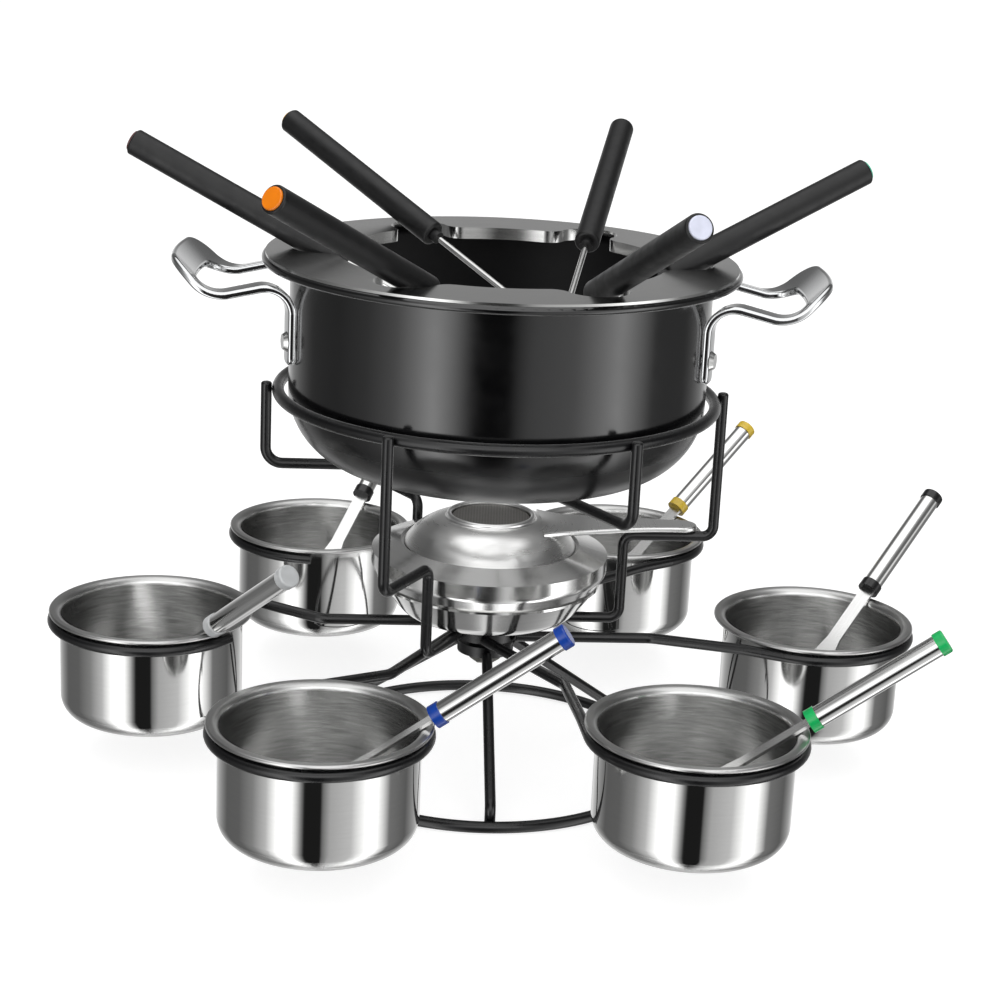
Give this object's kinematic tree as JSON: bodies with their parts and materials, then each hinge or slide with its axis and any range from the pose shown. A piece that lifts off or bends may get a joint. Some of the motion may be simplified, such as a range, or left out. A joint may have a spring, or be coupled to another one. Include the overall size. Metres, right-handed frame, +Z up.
{
  "type": "fondue pot set",
  "caption": "Fondue pot on a wire stand with a burner, a fork ring with forks, and a turning carousel of sauce cups with spreaders.",
  "frame": {"origin": "on the stand's vertical axis, which is also the carousel's axis, at the height of the table it stands on", "axes": "+Z up along the stand's axis; +X towards the right-hand pot handle; +Y away from the viewer who has one pot handle on each side"},
  "size_m": [0.3905, 0.3739, 0.265],
  "materials": {
    "black_enamel": "gloss black enamel",
    "black_grip": "satin black",
    "black_wire": "satin black coated wire",
    "brushed_cup": "polished outside, brushed inside",
    "cap_blue": "gloss",
    "cap_mint": "gloss",
    "cap_orange": "gloss",
    "cap_red": "gloss",
    "cap_white": "gloss",
    "cap_yellow": "gloss",
    "chrome_handle": "polished",
    "collar_black": "gloss",
    "collar_blue": "gloss",
    "collar_clear": "gloss, pale",
    "collar_green": "gloss",
    "collar_yellow": "gloss",
    "dark_gauze": "dark woven gauze",
    "mirror_steel": "mirror-polished stainless steel",
    "polished_steel": "polished stainless steel"
  },
  "bodies": {
    "stand": {"stand_top_ring": "black_wire", "long_legs": "black_wire", "pot_rests": "black_wire", "hub_plates": "black_wire", "pivot_bolt": "black_wire", "base_ring": "black_wire", "base_legs": "black_wire"},
    "carousel": {"carousel_hub": "black_wire", "carousel_arms": "black_wire"},
    "pot": {"pot_body": "black_enamel", "pot_handle_left": "chrome_handle", "pot_handle_right": "chrome_handle", "handle_rivets": "polished_steel"},
    "fork_ring": {"fork_ring": "polished_steel"},
    "burner": {"burner_pan": "mirror_steel", "burner_shell": "mirror_steel", "burner_mesh": "dark_gauze"},
    "regulator": {"burner_regulator": "mirror_steel"},
    "fork_1": {"fork_steel_1": "polished_steel", "fork_grip_1": "black_grip", "fork_cap_1": "cap_red"},
    "cup_1": {"cup_1": "brushed_cup"},
    "spreader_1": {"spreader_blade_1": "polished_steel", "spreader_grip_1": "polished_steel", "spreader_collars_1": "collar_black"},
    "fork_2": {"fork_steel_2": "polished_steel", "fork_grip_2": "black_grip", "fork_cap_2": "cap_orange"},
    "cup_2": {"cup_2": "brushed_cup"},
    "spreader_2": {"spreader_blade_2": "polished_steel", "spreader_grip_2": "polished_steel", "spreader_collars_2": "collar_yellow"},
    "fork_3": {"fork_steel_3": "polished_steel", "fork_grip_3": "black_grip", "fork_cap_3": "cap_yellow"},
    "cup_3": {"cup_3": "brushed_cup"},
    "spreader_3": {"spreader_blade_3": "polished_steel", "spreader_grip_3": "polished_steel", "spreader_collars_3": "collar_black"},
    "fork_4": {"fork_steel_4": "polished_steel", "fork_grip_4": "black_grip", "fork_cap_4": "cap_blue"},
    "cup_4": {"cup_4": "brushed_cup"},
    "spreader_4": {"spreader_blade_4": "polished_steel", "spreader_grip_4": "polished_steel", "spreader_collars_4": "collar_clear"},
    "fork_5": {"fork_steel_5": "polished_steel", "fork_grip_5": "black_grip", "fork_cap_5": "cap_white"},
    "cup_5": {"cup_5": "brushed_cup"},
    "spreader_5": {"spreader_blade_5": "polished_steel", "spreader_grip_5": "polished_steel", "spreader_collars_5": "collar_blue"},
    "fork_6": {"fork_steel_6": "polished_steel", "fork_grip_6": "black_grip", "fork_cap_6": "cap_mint"},
    "cup_6": {"cup_6": "brushed_cup"},
    "spreader_6": {"spreader_blade_6": "polished_steel", "spreader_grip_6": "polished_steel", "spreader_collars_6": "collar_green"}
  },
  "joints": [
    {"name": "carousel_spin", "type": "hinge", "parent": "stand", "child": "carousel", "pos_m": [0, 0, 0.059], "axis": [0, 0, 1], "continuous": true},
    {"name": "cup_1_lift", "type": "slide", "parent": "carousel", "child": "cup_1", "axis": [0, 0, 1], "range_m": [0, 0.07]},
    {"name": "spreader_1_draw", "type": "slide", "parent": "cup_1", "child": "spreader_1", "axis": [0.5413, 0.6012, 0.5878], "range_m": [0, 0.09]},
    {"name": "cup_2_lift", "type": "slide", "parent": "carousel", "child": "cup_2", "axis": [0, 0, 1], "range_m": [0, 0.07]},
    {"name": "spreader_2_draw", "type": "slide", "parent": "cup_2", "child": "spreader_2", "axis": [0.6012, 0.5413, 0.5878], "range_m": [0, 0.09]},
    {"name": "cup_3_lift", "type": "slide", "parent": "carousel", "child": "cup_3", "axis": [0, 0, 1], "range_m": [0, 0.07]},
    {"name": "spreader_3_draw", "type": "slide", "parent": "cup_3", "child": "spreader_3", "axis": [0.3291, 0.7391, 0.5878], "range_m": [0, 0.09]},
    {"name": "cup_4_lift", "type": "slide", "parent": "carousel", "child": "cup_4", "axis": [0, 0, 1], "range_m": [0, 0.07]},
    {"name": "spreader_4_draw", "type": "slide", "parent": "cup_4", "child": "spreader_4", "axis": [0.5721, -0.5721, 0.5878], "range_m": [0, 0.09]},
    {"name": "cup_5_lift", "type": "slide", "parent": "carousel", "child": "cup_5", "axis": [0, 0, 1], "range_m": [0, 0.07]},
    {"name": "spreader_5_draw", "type": "slide", "parent": "cup_5", "child": "spreader_5", "axis": [0.809, 0, 0.5878], "range_m": [0, 0.09]},
    {"name": "cup_6_lift", "type": "slide", "parent": "carousel", "child": "cup_6", "axis": [0, 0, 1], "range_m": [0, 0.07]},
    {"name": "spreader_6_draw", "type": "slide", "parent": "cup_6", "child": "spreader_6", "axis": [0.809, 0, 0.5878], "range_m": [0, 0.09]},
    {"name": "pot_lift", "type": "slide", "parent": "stand", "child": "pot", "axis": [0, 0, 1], "range_m": [0, 0.15]},
    {"name": "fork_ring_lift", "type": "slide", "parent": "pot", "child": "fork_ring", "axis": [0, 0, 1], "range_m": [0, 0.1]},
    {"name": "fork_1_draw", "type": "slide", "parent": "fork_ring", "child": "fork_1", "axis": [-0.8882, 0.1839, 0.421], "range_m": [0, 0.175]},
    {"name": "fork_2_draw", "type": "slide", "parent": "fork_ring", "child": "fork_2", "axis": [-0.5433, -0.7131, 0.4431], "range_m": [0, 0.175]},
    {"name": "fork_3_draw", "type": "slide", "parent": "fork_ring", "child": "fork_3", "axis": [-0.7035, 0.5861, 0.4019], "range_m": [0, 0.175]},
    {"name": "fork_4_draw", "type": "slide", "parent": "fork_ring", "child": "fork_4", "axis": [0.17, 0.8997, 0.4019], "range_m": [0, 0.175]},
    {"name": "fork_5_draw", "type": "slide", "parent": "fork_ring", "child": "fork_5", "axis": [0.3164, -0.8508, 0.4195], "range_m": [0, 0.175]},
    {"name": "fork_6_draw", "type": "slide", "parent": "fork_ring", "child": "fork_6", "axis": [0.8377, 0.3573, 0.4131], "range_m": [0, 0.175]},
    {"name": "burner_lift", "type": "slide", "parent": "stand", "child": "burner", "axis": [0, 0, 1], "range_m": [0, 0.018]},
    {"name": "regulator_turn", "type": "hinge", "parent": "burner", "child": "regulator", "pos_m": [0, 0, 0.11], "axis": [0, 0, 1], "range_deg": [-15, 30]}
  ]
}
